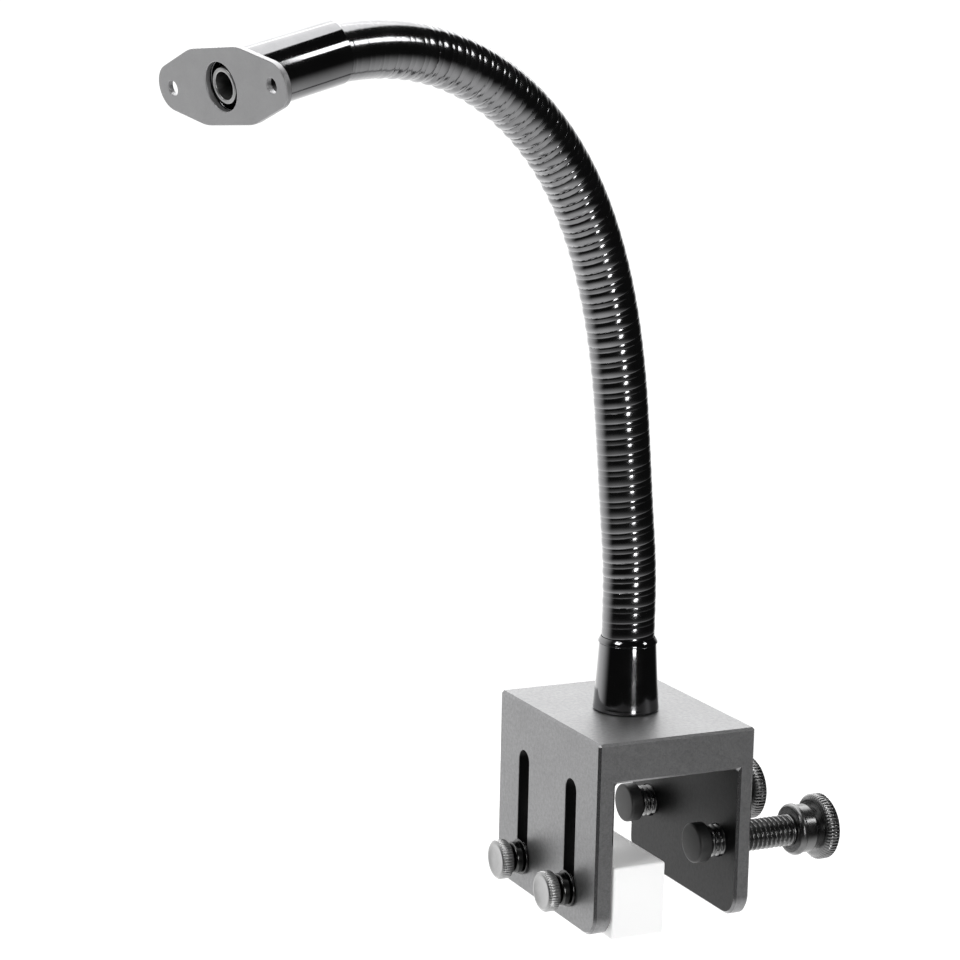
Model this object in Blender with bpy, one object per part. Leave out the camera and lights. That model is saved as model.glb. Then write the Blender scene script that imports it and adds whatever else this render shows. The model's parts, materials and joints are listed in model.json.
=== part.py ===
"""Clamp-on gooseneck stand for a hobby bench.

A U-shaped block clamps over a panel edge: two knurled screws press from one jaw, and a
height-adjustable bar behind the slotted jaw backs the panel up. A wound flexible neck stands on
the block and ends in a ferrule with a two-hole flange, where a tool holder is fastened.

Frame: the origin is on the inner face of the slotted jaw, half way along the block and 10 mm below
the bridge. +X points across the throat to the clamp screws, -Y is the front and +Z is up.
"""

import math

import bmesh
import bpy

MM = 0.001
GAP = 0.3 * MM  # air between pieces that touch or slide on each other

# Block: an upside-down U, a bridge on two jaws.
BLOCK_WIDTH = 52.0 * MM
BLOCK_DEPTH = 65.0 * MM
BLOCK_HEIGHT = 59.0 * MM
BRIDGE = 12.3 * MM
SLOTTED_JAW = 5.8 * MM
SCREW_JAW = 5.0 * MM
JAW_CORNER = 7.0 * MM
EDGE_CHAMFER = 0.59 * MM
ORIGIN_BELOW_BRIDGE = 10.0 * MM
BRIDGE_SEAT_START = 10.0 * MM  # further out than this the underside is clear of the bolt's washer

# Slots in one jaw, and the bar that its two thumb screws carry.
SLOT_SPACING = 31.0 * MM
SLOT_WIDTH = 6.8 * MM
SLOT_TOP = 7.6 * MM
SLOT_BOTTOM = -31.0 * MM
BAR_THICKNESS = 17.0 * MM
BAR_HEIGHT = 22.0 * MM
BAR_LENGTH = 64.4 * MM
BAR_CENTRE_Z = -26.5 * MM
THUMB_THREAD = 6.35 * MM
THUMB_HEAD = 12.0 * MM
THUMB_HEAD_LENGTH = 4.0 * MM
THUMB_NECK = 5.6 * MM
THUMB_NECK_LENGTH = 1.0 * MM
THUMB_COLLAR = 9.6 * MM
THUMB_COLLAR_LENGTH = 2.6 * MM
THUMB_SHANK_END = 10.5 * MM
WASHER_OUTER = 11.0 * MM
WASHER_THICKNESS = 0.8 * MM

# Clamp screws in the other jaw, with nylon tips on their ends.
SCREW_SPACING = 42.4 * MM
SCREW_Z = -15.1 * MM
SCREW_THREAD = 9.5 * MM
SCREW_COLLAR = 15.7 * MM
SCREW_COLLAR_START = 66.4 * MM
SCREW_COLLAR_LENGTH = 6.0 * MM
SCREW_NECK = 13.0 * MM
SCREW_NECK_LENGTH = 2.0 * MM
SCREW_HEAD = 20.0 * MM
SCREW_HEAD_LENGTH = 4.8 * MM
TIP_FACE = 32.2 * MM
TIP_DIAMETER = 12.0 * MM
TIP_LENGTH = 4.2 * MM
TIP_SPIGOT = 5.0 * MM
TIP_SPIGOT_LENGTH = 2.4 * MM

# Base ferrule and the bolt that holds it on the bridge.
FERRULE_BASE = 20.0 * MM
FERRULE_TOP = 18.0 * MM
FERRULE_HEIGHT = 22.5 * MM
FERRULE_FLOOR = 9.0 * MM
BOLT_THREAD = 8.0 * MM
BOLT_HEAD = 13.0 * MM
BOLT_HEAD_LENGTH = 5.0 * MM
BOLT_SOCKET = 6.0 * MM
BOLT_SOCKET_DEPTH = 3.0 * MM
BOLT_REACH = 6.0 * MM
BOLT_WASHER = 17.0 * MM
BOLT_WASHER_THICKNESS = 1.6 * MM

# Neck: links that pivot about points LINK_LENGTH apart, each bent from the last by BENDS degrees.
NECK_DIAMETER = 16.0 * MM
NECK_BORE = 8.0 * MM
LINK_LENGTH = 20.0 * MM
BENDS = (7, -1, 1, 5, 7, 9, 12, 13, 13, 15, 13, 10)
BEND_PLANE_TURN = math.radians(195.5)
SOCKET_CLEARANCE = 0.9 * MM

# End ferrule, cable tube and flange plate.
END_FERRULE = 17.8 * MM
END_FERRULE_BORE_DEPTH = 22.0 * MM
END_WEB = 4.0 * MM
END_COLLAR = 19.6 * MM
END_COLLAR_LENGTH = 2.6 * MM
PLATE_FACE = 36.5 * MM
PLATE_THICKNESS = 1.6 * MM
PLATE_HEIGHT = 20.0 * MM
PLATE_FLAT = 21.0 * MM
EAR_SPACING = 43.6 * MM
EAR_RADIUS = 6.2 * MM
EAR_HOLE = 4.0 * MM
PLATE_BORE = 12.9 * MM
PLATE_ROLL = math.radians(3.3)
TUBE_OUTER = 9.5 * MM
TUBE_INNER = 7.2 * MM
TUBE_START = 22.4 * MM
TUBE_RECESS = 0.9 * MM

# Places that follow from the sizes above.
UNDERSIDE_Z = ORIGIN_BELOW_BRIDGE
TOP_Z = UNDERSIDE_Z + BRIDGE
BOTTOM_Z = TOP_Z - BLOCK_HEIGHT
LEFT_X = -SLOTTED_JAW
RIGHT_X = LEFT_X + BLOCK_WIDTH
SCREW_JAW_X = RIGHT_X - SCREW_JAW
NECK_X = (LEFT_X + RIGHT_X) / 2
BAR_X = GAP + BAR_THICKNESS / 2
THUMB_Z = BAR_CENTRE_Z + 0.5 * MM
PLATE_BACK = PLATE_FACE - PLATE_THICKNESS

ROUND = 24
UPRIGHT_ACROSS = (math.pi / 2, 0, math.pi / 2)  # an outline in Y and Z, extruded along X
UPRIGHT_ALONG = (math.pi / 2, 0, 0)  # an outline in X and Z, extruded along Y
FACING_RIGHT = (0, math.pi / 2, 0)  # a turned piece whose axis points to +X
FACING_LEFT = (0, -math.pi / 2, 0)


def clear_scene():
    for obj in list(bpy.data.objects):
        bpy.data.objects.remove(obj, do_unlink=True)


def material(name, colour, roughness, metallic):
    made = bpy.data.materials.new(name)
    made.use_nodes = True
    shader = made.node_tree.nodes["Principled BSDF"]
    shader.inputs["Base Color"].default_value = (*colour, 1.0)
    shader.inputs["Roughness"].default_value = roughness
    shader.inputs["Metallic"].default_value = metallic
    made.diffuse_color = (*colour, 1.0)
    return made


def finished_object(name, bm, paint, parent=None, location=(0, 0, 0), rotation=(0, 0, 0)):
    """An object from a bmesh, facing outwards and shaded smooth except at its sharp edges."""
    bmesh.ops.recalc_face_normals(bm, faces=bm.faces)
    mesh = bpy.data.meshes.new(name)
    bm.to_mesh(mesh)
    bm.free()
    mesh.shade_smooth()
    mesh.set_sharp_from_angle(angle=math.radians(35))
    obj = bpy.data.objects.new(name, mesh)
    if paint:
        mesh.materials.append(paint)
    bpy.context.scene.collection.objects.link(obj)
    obj.parent = parent
    obj.location = location
    obj.rotation_euler = rotation
    return obj


def turned(name, profile, paint, sides=ROUND, **place):
    """A solid of revolution about Z from a closed profile of (radius, height) points."""
    bm = bmesh.new()
    rings = []
    for radius, height in profile:
        turns = 1 if radius == 0 else sides
        angles = [2 * math.pi * i / sides for i in range(turns)]
        rings.append([bm.verts.new((radius * math.cos(a), radius * math.sin(a), height)) for a in angles])
    for lower, upper in zip(rings, rings[1:] + rings[:1]):
        for i in range(sides):
            j = i + 1
            corners = [lower[i % len(lower)], lower[j % len(lower)], upper[j % len(upper)], upper[i % len(upper)]]
            corners = list(dict.fromkeys(corners))
            if len(corners) > 2:
                bm.faces.new(corners)
    return finished_object(name, bm, paint, **place)


def prism(name, outline, depth, paint, **place):
    """An outline in X and Y, extruded along Z to half the depth on each side."""
    bm = bmesh.new()
    bottom = bm.faces.new([bm.verts.new((x, y, -depth / 2)) for x, y in outline])
    top = bmesh.ops.extrude_face_region(bm, geom=[bottom], use_keep_orig=True)["geom"]
    bmesh.ops.translate(bm, vec=(0, 0, depth), verts=[v for v in top if isinstance(v, bmesh.types.BMVert)])
    return finished_object(name, bm, paint, **place)


def divide_faces(obj, point, normal):
    """Lays an edge round the mesh where a plane cuts it, so that each side has faces of its own."""
    bm = bmesh.new()
    bm.from_mesh(obj.data)
    everything = [*bm.verts, *bm.edges, *bm.faces]
    bmesh.ops.bisect_plane(bm, geom=everything, plane_co=point, plane_no=normal)
    bm.to_mesh(obj.data)
    bm.free()


def as_cutter(obj):
    obj.hide_render = True
    obj.display_type = "WIRE"
    return obj


def boolean(target, other, operation="DIFFERENCE"):
    step = target.modifiers.new(other.name, "BOOLEAN")
    step.operation = operation
    step.solver = "EXACT"
    step.object = as_cutter(other)


def arc(centre, radius, start, end, steps):
    """Points on an arc, from the start angle to the end angle in degrees."""
    x, y = centre
    angles = [math.radians(start + (end - start) * i / steps) for i in range(steps + 1)]
    return [(x + radius * math.cos(a), y + radius * math.sin(a)) for a in angles]


def stadium(width, bottom, top, steps=8):
    """An upright slot outline with half-round ends."""
    r = width / 2
    return arc((0, top - r), r, 0, 180, steps) + arc((0, bottom + r), r, 180, 360, steps)


def sphere_profile(radius, centre, from_radius, to_radius, steps):
    """(radius, height) points on the lower half of a sphere, between two distances from its axis."""
    start, end = math.asin(from_radius / radius), math.asin(to_radius / radius)
    angles = [start + (end - start) * i / steps for i in range(steps + 1)]
    return [(radius * math.sin(a), centre - radius * math.cos(a)) for a in angles]


def clamp_body(paint):
    outer, inner = (LEFT_X, RIGHT_X), (0.0, SCREW_JAW_X)
    section = [
        (outer[0], BOTTOM_Z), (inner[0], BOTTOM_Z), (inner[0], UNDERSIDE_Z), (inner[1], UNDERSIDE_Z),
        (inner[1], BOTTOM_Z), (outer[1], BOTTOM_Z), (outer[1], TOP_Z), (outer[0], TOP_Z),
    ]
    body = prism("clamp_body", section, BLOCK_DEPTH, paint, rotation=UPRIGHT_ALONG)
    for side in (-1, 1):
        divide_faces(body, (0, 0, side * BRIDGE_SEAT_START), (0, 0, 1))

    half = BLOCK_DEPTH / 2
    corner_y, corner_z = half - JAW_CORNER, BOTTOM_Z + JAW_CORNER
    side_view = [(half + MM, TOP_Z + MM), (-half - MM, TOP_Z + MM), (-half - MM, corner_z + MM)]
    side_view += [(-half, corner_z + MM)]
    side_view += arc((-corner_y, corner_z), JAW_CORNER, 180, 270, 8)
    side_view += arc((corner_y, corner_z), JAW_CORNER, 270, 360, 8)
    side_view += [(half, corner_z + MM), (half + MM, corner_z + MM)]
    guide = prism("jaw_outline", side_view, 3 * BLOCK_WIDTH, None, rotation=UPRIGHT_ACROSS)
    boolean(body, guide, "INTERSECT")

    chamfer = body.modifiers.new("edge_chamfer", "BEVEL")
    chamfer.width = EDGE_CHAMFER
    chamfer.segments = 1
    chamfer.limit_method = "ANGLE"
    chamfer.angle_limit = math.radians(50)

    for side, end in ((-1, "front"), (1, "rear")):
        slot = prism(
            f"slot_cutter_{end}", stadium(SLOT_WIDTH, SLOT_BOTTOM, SLOT_TOP), 4 * SLOTTED_JAW, None,
            location=(LEFT_X, side * SLOT_SPACING / 2, 0), rotation=UPRIGHT_ACROSS,
        )
        boolean(body, slot)
        hole = prism(
            f"screw_hole_cutter_{end}", arc((0, 0), SCREW_THREAD / 2 + GAP, 0, 345, 23), 4 * SCREW_JAW, None,
            location=(RIGHT_X, side * SCREW_SPACING / 2, SCREW_Z), rotation=FACING_RIGHT,
        )
        boolean(body, hole)
    bolt_hole = prism(
        "bolt_hole_cutter", arc((0, 0), BOLT_THREAD / 2 + GAP, 0, 345, 23), 3 * BRIDGE, None,
        location=(NECK_X, 0, TOP_Z),
    )
    boolean(body, bolt_hole)


def slide_bar(paint):
    w, h, c = BAR_THICKNESS / 2, BAR_HEIGHT / 2, 0.6 * MM
    section = [(-w, -h + c), (-w + c, -h), (w - c, -h), (w, -h + c), (w, h - c), (w - c, h), (-w + c, h), (-w, h - c)]
    bar = prism(
        "slide_bar", section, BAR_LENGTH, paint, location=(BAR_X, 0, BAR_CENTRE_Z), rotation=UPRIGHT_ALONG,
    )
    depth = 2 * (THUMB_SHANK_END + 1.0 * MM)
    for side, end in ((-1, "front"), (1, "rear")):
        tapped = prism(
            f"bar_hole_cutter_{end}", arc((0, 0), THUMB_THREAD / 2 + GAP, 0, 345, 23), depth, None,
            location=(0, side * SLOT_SPACING / 2, THUMB_Z), rotation=FACING_RIGHT,
        )
        boolean(bar, tapped)


def thumb_screw(end, side, steel, washer_steel):
    """A small knurled screw through one slot, with its washer, turned about an axis that points left."""
    place = {"location": (LEFT_X, side * SLOT_SPACING / 2, THUMB_Z), "rotation": FACING_LEFT}
    washer_face = GAP + WASHER_THICKNESS
    turned(
        f"thumb_washer_{end}",
        [
            (THUMB_THREAD / 2 + GAP, GAP), (WASHER_OUTER / 2, GAP),
            (WASHER_OUTER / 2, washer_face), (THUMB_THREAD / 2 + GAP, washer_face),
        ],
        washer_steel, **place,
    )
    collar = washer_face + GAP
    neck = collar + THUMB_COLLAR_LENGTH
    head = neck + THUMB_NECK_LENGTH
    top = head + THUMB_HEAD_LENGTH
    bevel = 0.6 * MM
    tip = -SLOTTED_JAW - THUMB_SHANK_END
    turned(
        f"thumb_screw_{end}",
        [
            (0, tip), (THUMB_THREAD / 2 - bevel, tip), (THUMB_THREAD / 2, tip + bevel),
            (THUMB_THREAD / 2, collar), (THUMB_COLLAR / 2 - bevel, collar), (THUMB_COLLAR / 2, collar + bevel),
            (THUMB_COLLAR / 2, neck - bevel), (THUMB_COLLAR / 2 - bevel, neck),
            (THUMB_NECK / 2, neck), (THUMB_NECK / 2, head),
            (THUMB_HEAD / 2 - bevel, head), (THUMB_HEAD / 2, head + bevel),
            (THUMB_HEAD / 2, top - bevel), (THUMB_HEAD / 2 - bevel, top), (0, top),
        ],
        steel, **place,
    )


def clamp_screw(end, side, steel, nylon):
    """A knurled clamp screw and the nylon tip that swivels on its end, about an axis that points right."""
    place = {"location": (0, side * SCREW_SPACING / 2, SCREW_Z), "rotation": FACING_RIGHT}
    tip_back = TIP_FACE + TIP_LENGTH
    spigot = TIP_SPIGOT / 2
    edge = 0.5 * MM
    turned(
        f"screw_tip_{end}",
        [
            (0, TIP_FACE), (TIP_DIAMETER / 2 - edge, TIP_FACE), (TIP_DIAMETER / 2, TIP_FACE + edge),
            (TIP_DIAMETER / 2, tip_back - edge), (TIP_DIAMETER / 2 - edge, tip_back),
            (spigot + GAP, tip_back), (spigot + GAP, tip_back - TIP_SPIGOT_LENGTH - GAP),
            (0, tip_back - TIP_SPIGOT_LENGTH - GAP),
        ],
        nylon, **place,
    )
    shank = tip_back + GAP
    collar = SCREW_COLLAR_START
    neck = collar + SCREW_COLLAR_LENGTH
    head = neck + SCREW_NECK_LENGTH
    top = head + SCREW_HEAD_LENGTH
    bevel = 0.9 * MM
    turned(
        f"clamp_screw_{end}",
        [
            (0, tip_back - TIP_SPIGOT_LENGTH), (spigot, tip_back - TIP_SPIGOT_LENGTH), (spigot, shank),
            (SCREW_THREAD / 2 - bevel, shank), (SCREW_THREAD / 2, shank + bevel), (SCREW_THREAD / 2, collar),
            (SCREW_COLLAR / 2 - bevel, collar), (SCREW_COLLAR / 2, collar + bevel),
            (SCREW_COLLAR / 2, neck - bevel), (SCREW_COLLAR / 2 - bevel, neck),
            (SCREW_NECK / 2, neck), (SCREW_NECK / 2, head),
            (SCREW_HEAD / 2 - bevel, head), (SCREW_HEAD / 2, head + bevel),
            (SCREW_HEAD / 2, top - bevel), (SCREW_HEAD / 2 - bevel, top), (0, top),
        ],
        steel, **place,
    )


def base_ferrule(dark_steel, bolt_steel):
    """The sleeve that the neck stands in, and the bolt and washer that hold it from under the bridge."""
    base = empty("neck_swivel", location=(NECK_X, 0, TOP_Z))
    bottom, top, wall = FERRULE_BASE / 2, FERRULE_TOP / 2, NECK_DIAMETER / 2 + GAP
    foot, shoulder, groove = 1.0 * MM, 2.6 * MM, 0.4 * MM
    rim = FERRULE_HEIGHT - shoulder
    bolt_hole = BOLT_THREAD / 2 + GAP
    turned(
        "base_ferrule",
        [
            (bolt_hole, GAP), (bottom - foot, GAP), (bottom, GAP + foot), (bottom, 3 * foot),
            (top, rim - groove), (top - groove, rim), (top, rim + groove),
            (top - 0.35 * MM, FERRULE_HEIGHT - groove), (wall, FERRULE_HEIGHT),
            (wall, FERRULE_FLOOR), (bolt_hole, FERRULE_FLOOR),
        ],
        dark_steel, parent=base,
    )
    washer_top = -BRIDGE - GAP
    washer_bottom = washer_top - BOLT_WASHER_THICKNESS
    turned(
        "neck_washer",
        [
            (bolt_hole, washer_bottom), (BOLT_WASHER / 2, washer_bottom),
            (BOLT_WASHER / 2, washer_top), (bolt_hole, washer_top),
        ],
        bolt_steel, parent=base,
    )
    head_top = washer_bottom - GAP
    head_bottom = head_top - BOLT_HEAD_LENGTH
    edge = 0.5 * MM
    bolt = turned(
        "neck_bolt",
        [
            (0, head_bottom), (BOLT_HEAD / 2 - edge, head_bottom), (BOLT_HEAD / 2, head_bottom + edge),
            (BOLT_HEAD / 2, head_top), (BOLT_THREAD / 2, head_top), (BOLT_THREAD / 2, BOLT_REACH - edge),
            (BOLT_THREAD / 2 - edge, BOLT_REACH), (0, BOLT_REACH),
        ],
        bolt_steel, parent=base,
    )
    hexagon = arc((0, 0), BOLT_SOCKET / math.sqrt(3), 0, 300, 5)
    socket = prism(
        "bolt_socket_cutter", hexagon, 2 * BOLT_SOCKET_DEPTH, None,
        location=(NECK_X, 0, TOP_Z + head_bottom),
    )
    boolean(bolt, socket)
    return base


def empty(name, parent=None, location=(0, 0, 0), rotation=(0, 0, 0)):
    made = bpy.data.objects.new(name, None)
    made.empty_display_size = 0.01
    bpy.context.scene.collection.objects.link(made)
    made.parent = parent
    made.location = location
    made.rotation_euler = rotation
    return made


def neck_link(number, pivot, start, end, paint, round_start, cupped_end):
    """A hollow link. Its round start turns in the cupped end of the link before it."""
    outer, bore = NECK_DIAMETER / 2, NECK_BORE / 2
    if round_start:
        profile = sphere_profile(outer, 0.0, bore, outer, 5)
    else:
        profile = [(bore, start), (outer, start)]
    if cupped_end:
        profile += reversed(sphere_profile(outer + SOCKET_CLEARANCE, end, bore, outer, 5))
    else:
        profile += [(outer, end), (bore, end)]
    turned(f"neck_link_{number:02d}", profile, paint, sides=20, parent=pivot)


def neck(base, paint):
    """The chain of links, bent at each pivot. It returns the last pivot, which carries the end ferrule."""
    foot = FERRULE_FLOOR + GAP
    root = empty("neck_root", parent=base, rotation=(0, 0, BEND_PLANE_TURN))
    reach = FERRULE_HEIGHT + LINK_LENGTH
    neck_link(1, root, foot, reach, paint, round_start=False, cupped_end=True)
    pivot = root
    for number, bend in enumerate(BENDS, start=1):
        pivot = empty(
            f"neck_pivot_{number:02d}", parent=pivot,
            location=(0, 0, reach), rotation=(0, math.radians(bend), 0),
        )
        last = number == len(BENDS)
        reach = END_FERRULE_BORE_DEPTH - GAP if last else LINK_LENGTH
        neck_link(number + 1, pivot, 0.0, reach, paint, round_start=True, cupped_end=not last)
    return pivot


def end_ferrule(pivot, paint):
    outer, wall = END_FERRULE / 2, NECK_DIAMETER / 2 + GAP
    collar, recess, tube_hole = END_COLLAR / 2, PLATE_BORE / 2, TUBE_OUTER / 2 + GAP
    edge = 0.5 * MM
    back = PLATE_BACK - GAP
    flare = back - END_COLLAR_LENGTH
    web = END_FERRULE_BORE_DEPTH + END_WEB
    turned(
        "end_ferrule",
        [
            (wall, GAP), (outer - edge, GAP), (outer, GAP + edge), (outer, flare), (collar - edge, flare),
            (collar, flare + edge), (collar, back - edge), (collar - edge, back), (recess, back),
            (recess, web), (tube_hole, web), (tube_hole, END_FERRULE_BORE_DEPTH), (wall, END_FERRULE_BORE_DEPTH),
        ],
        paint, parent=pivot,
    )


def cable_tube(pivot, paint):
    end = PLATE_FACE - TUBE_RECESS
    turned(
        "cable_tube",
        [(TUBE_INNER / 2, TUBE_START), (TUBE_OUTER / 2, TUBE_START), (TUBE_OUTER / 2, end), (TUBE_INNER / 2, end)],
        paint, parent=pivot,
    )


def flange_plate(pivot, paint):
    """A plate with two round ears, whose sloping sides touch the ears and meet the flat long sides."""
    ear, half, flat = EAR_SPACING / 2, PLATE_HEIGHT / 2, PLATE_FLAT / 2
    slope = ear_tangent(ear - flat, half, EAR_RADIUS)
    outline = [(flat, -half)]
    outline += arc((ear, 0), EAR_RADIUS, -slope, slope, 10)
    outline += [(flat, half), (-flat, half)]
    outline += arc((-ear, 0), EAR_RADIUS, 180 - slope, 180 + slope, 10)
    outline += [(-flat, -half)]
    # The long side of the plate lies level, across the bend plane.
    turn = math.pi / 2 + PLATE_ROLL
    middle = (0, 0, PLATE_FACE - PLATE_THICKNESS / 2)
    plate = prism("flange_plate", outline, PLATE_THICKNESS, paint, parent=pivot, location=middle, rotation=(0, 0, turn))
    holes = ((0.0, PLATE_BORE / 2, "bore"), (-ear, EAR_HOLE / 2, "left"), (ear, EAR_HOLE / 2, "right"))
    for offset, radius, side in holes:
        cutter = prism(
            f"plate_cutter_{side}", arc((offset, 0), radius, 0, 345, 23), 3 * PLATE_THICKNESS, None,
            parent=pivot, location=middle, rotation=(0, 0, turn),
        )
        boolean(plate, cutter)


def ear_tangent(run, rise, radius):
    """The angle in degrees at which a line from the corner (-run, rise) touches a circle about zero."""
    distance = math.hypot(run, rise)
    return math.degrees(math.atan2(rise, -run) - math.acos(radius / distance))


def main():
    clear_scene()
    aluminium = material("clamp_aluminium", (0.36, 0.36, 0.37), 0.42, 0.9)
    dark_chrome = material("dark_chrome", (0.09, 0.09, 0.095), 0.16, 1.0)
    black_steel = material("black_steel", (0.05, 0.05, 0.055), 0.3, 0.9)
    bright_steel = material("bright_steel", (0.45, 0.45, 0.46), 0.3, 1.0)
    plate_steel = material("plate_steel", (0.35, 0.35, 0.36), 0.5, 0.8)
    white_plastic = material("white_plastic", (0.85, 0.85, 0.85), 0.4, 0.0)
    nylon = material("black_nylon", (0.03, 0.03, 0.03), 0.55, 0.0)

    clamp_body(aluminium)
    slide_bar(white_plastic)
    for side, end in ((-1, "front"), (1, "rear")):
        thumb_screw(end, side, black_steel, bright_steel)
        clamp_screw(end, side, black_steel, nylon)
    base = base_ferrule(dark_chrome, bright_steel)
    tip = neck(base, dark_chrome)
    end_ferrule(tip, dark_chrome)
    cable_tube(tip, bright_steel)
    flange_plate(tip, plate_steel)


main()
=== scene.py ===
"""Looks of the clamp-on gooseneck stand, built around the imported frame."""

import json
import math

import bmesh
import bpy
from mathutils import Matrix, Vector

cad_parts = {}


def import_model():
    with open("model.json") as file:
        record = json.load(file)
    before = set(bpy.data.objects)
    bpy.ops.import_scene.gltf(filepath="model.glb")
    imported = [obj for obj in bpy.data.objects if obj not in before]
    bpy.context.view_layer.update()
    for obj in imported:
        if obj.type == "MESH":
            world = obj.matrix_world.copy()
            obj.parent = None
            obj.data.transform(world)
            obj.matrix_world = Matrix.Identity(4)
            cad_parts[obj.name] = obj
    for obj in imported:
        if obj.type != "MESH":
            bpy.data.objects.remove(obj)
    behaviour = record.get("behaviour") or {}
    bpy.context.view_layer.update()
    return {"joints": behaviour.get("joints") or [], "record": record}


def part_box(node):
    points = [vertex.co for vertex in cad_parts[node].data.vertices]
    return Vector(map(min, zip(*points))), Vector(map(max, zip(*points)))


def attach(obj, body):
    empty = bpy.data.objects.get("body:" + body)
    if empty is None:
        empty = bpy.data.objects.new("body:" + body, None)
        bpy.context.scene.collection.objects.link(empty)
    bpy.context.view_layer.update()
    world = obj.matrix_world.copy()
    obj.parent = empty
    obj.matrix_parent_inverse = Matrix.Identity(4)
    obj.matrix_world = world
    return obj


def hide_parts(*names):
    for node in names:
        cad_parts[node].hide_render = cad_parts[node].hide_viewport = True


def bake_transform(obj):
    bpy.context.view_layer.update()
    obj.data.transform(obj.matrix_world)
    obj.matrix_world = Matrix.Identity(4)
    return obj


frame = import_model()

MM = 0.001
GAP = 0.3 * MM  # air between pieces that touch
TURN = 2 * math.pi
QUARTER = math.pi / 2
UP = Vector((0.0, 0.0, 1.0))

# ---------------------------------------------------------------- places taken from the frame

joints = {joint["name"]: joint for joint in frame["joints"]}
mounts = {mount["name"]: mount for mount in frame["record"]["mounts"]}
PIVOTS = [Vector(joints[f"neck_bend_{k:02d}"]["pos_m"]) for k in range(1, 13)]
HINGE = Vector(joints["neck_bend_01"]["axis"]).normalized()
LEAN = HINGE.cross(UP)
LINK = (PIVOTS[1] - PIVOTS[0]).length
FLANGE_NORMAL = Vector(mounts["tool_flange"]["axis"]).normalized()
BLOCK_LOW, BLOCK_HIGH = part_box("clamp_body")
BAR_LOW, BAR_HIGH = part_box("slide_bar")


# ---------------------------------------------------------------- mesh helpers


def mesh_from(bm, name):
    """A mesh with its faces pointing out. The bmesh is freed."""
    bmesh.ops.recalc_face_normals(bm, faces=bm.faces)
    mesh = bpy.data.meshes.new(name)
    bm.to_mesh(mesh)
    bm.free()
    return mesh


def piece(name, mesh, paint, sharp=35, place=None):
    """A shaded object in the scene; place is applied to the mesh, so the object stays at the origin."""
    if place is not None:
        mesh.transform(place)
    mesh.shade_smooth()
    mesh.set_sharp_from_angle(angle=math.radians(sharp))
    obj = bpy.data.objects.new(name, mesh)
    bpy.context.scene.collection.objects.link(obj)
    mesh.materials.append(paint)
    return obj


def finished(obj, body, node):
    """Makes the piece ride on its body and stand for its CAD node."""
    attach(obj, body)
    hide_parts(node)


def revolved(name, rows, segments=96):
    """A closed mesh about Z. A row is (radius, height); radius may be a function of the angle."""
    bm = bmesh.new()
    rings = []
    for radius, height in rows:
        if not callable(radius) and radius <= 1e-7:
            rings.append([bm.verts.new((0, 0, height))])
            continue
        ring = []
        for i in range(segments):
            a = TURN * i / segments
            r = radius(a) if callable(radius) else radius
            ring.append(bm.verts.new((r * math.cos(a), r * math.sin(a), height)))
        rings.append(ring)
    hollow = len(rings[0]) > 1 or len(rings[-1]) > 1
    following = rings[1:] + rings[:1] if hollow else rings[1:]
    for lower, upper in zip(rings, following):
        for i in range(segments):
            j = i + 1
            corners = [
                lower[i % len(lower)], lower[j % len(lower)],
                upper[j % len(upper)], upper[i % len(upper)],
            ]
            corners = list(dict.fromkeys(corners))
            if len(corners) > 2:
                bm.faces.new(corners)
    return mesh_from(bm, name)


def rounded(points, radii, steps=5):
    """A (radius, height) profile with its corners rounded; a corner whose radius is 0 stays sharp."""
    out = []
    count = len(points)
    for i, (point, r) in enumerate(zip(points, radii)):
        here = Vector(point)
        if r <= 0:
            out.append(tuple(here))
            continue
        before, after = Vector(points[i - 1]) - here, Vector(points[(i + 1) % count]) - here
        reach = min(r, 0.45 * before.length, 0.45 * after.length)
        start, end = here + before.normalized() * reach, here + after.normalized() * reach
        for step in range(steps + 1):
            t = step / steps
            out.append(tuple((1 - t) ** 2 * start + 2 * t * (1 - t) * here + t * t * end))
    return out


def arc(centre, radius, start, end, steps):
    """Points round a centre, from one angle to another in degrees."""
    x, y = centre
    angles = [math.radians(start + (end - start) * i / steps) for i in range(steps + 1)]
    return [(x + radius * math.cos(a), y + radius * math.sin(a)) for a in angles]


def prism_mesh(name, outline, depth, place):
    """An outline in X and Y, extruded along Z to half the depth on each side, then placed."""
    bm = bmesh.new()
    bottom = bm.faces.new([bm.verts.new((x, y, -depth / 2)) for x, y in outline])
    extruded = bmesh.ops.extrude_face_region(bm, geom=[bottom], use_keep_orig=True)["geom"]
    top = [part for part in extruded if isinstance(part, bmesh.types.BMVert)]
    bmesh.ops.translate(bm, vec=(0, 0, depth), verts=top)
    mesh = mesh_from(bm, name)
    mesh.transform(place)
    return mesh


def helper(name, mesh):
    """An object that is only there until its modifiers are applied."""
    obj = bpy.data.objects.new(name, mesh)
    bpy.context.scene.collection.objects.link(obj)
    return obj


def cut(target, cutter):
    step = target.modifiers.new(cutter.name, "BOOLEAN")
    step.operation = "DIFFERENCE"
    step.solver = "EXACT"
    step.object = cutter


def bevel(target, width, segments, angle):
    step = target.modifiers.new("bevel", "BEVEL")
    step.width = width
    step.segments = segments
    step.limit_method = "ANGLE"
    step.angle_limit = math.radians(angle)
    step.harden_normals = False


def baked_mesh(obj):
    """The object's mesh with its modifiers applied. The object and its cutters are removed."""
    bpy.context.view_layer.update()
    graph = bpy.context.evaluated_depsgraph_get()
    mesh = bpy.data.meshes.new_from_object(obj.evaluated_get(graph))
    mesh.materials.clear()
    cutters = [step.object for step in obj.modifiers if step.type == "BOOLEAN"]
    for used in [obj, *cutters]:
        bpy.data.objects.remove(used)
    return mesh


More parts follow.
